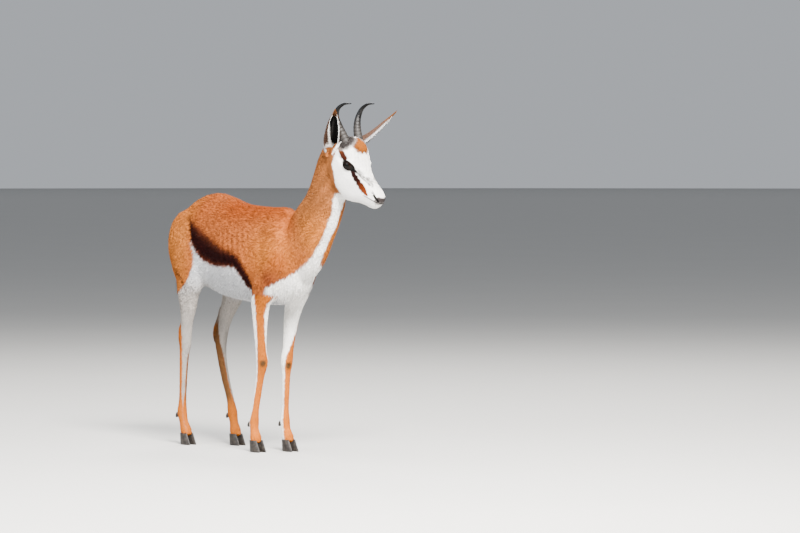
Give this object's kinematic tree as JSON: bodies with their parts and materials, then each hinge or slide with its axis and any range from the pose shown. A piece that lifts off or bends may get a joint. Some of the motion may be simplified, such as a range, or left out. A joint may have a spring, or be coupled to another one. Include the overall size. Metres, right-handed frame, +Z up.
{
  "type": "springbok model",
  "caption": "Life-size still model of a young standing springbok: short hooked horns, long ears, slim legs on cloven hooves, white face and belly, dark flank band, black-tipped tail.",
  "frame": {"origin": "on the ground, under the middle of the bounding box", "axes": "+X the way the body faces, +Y the animal's left, +Z up"},
  "size_m": [1.0127, 0.2858, 1.0658],
  "materials": {
    "coat_tan": "short dense fur",
    "coat_white": "short dense fur",
    "horn": "ringed horn, smooth at the tip",
    "claw": "worn hoof horn",
    "eye": "wet gloss",
    "tuft_black": "long hair in locks"
  },
  "bodies": {
    "root": {"torso": "coat_tan", "neck": "coat_tan", "head": "coat_white", "ear_right": "coat_tan", "eye_right": "eye", "horn_right": "horn", "ear_left": "coat_tan", "eye_left": "eye", "horn_left": "horn", "foreleg_right": "coat_tan", "forecannon_right": "coat_tan", "hindleg_right": "coat_tan", "hindcannon_right": "coat_tan", "claw_fore_right_inner": "claw", "claw_fore_right_outer": "claw", "claw_hind_right_inner": "claw", "claw_hind_right_outer": "claw", "foreleg_left": "coat_tan", "forecannon_left": "coat_tan", "hindleg_left": "coat_tan", "hindcannon_left": "coat_tan", "claw_fore_left_inner": "claw", "claw_fore_left_outer": "claw", "claw_hind_left_inner": "claw", "claw_hind_left_outer": "claw", "tail": "coat_white", "tail_tuft": "tuft_black"}
  },
  "joints": []
}
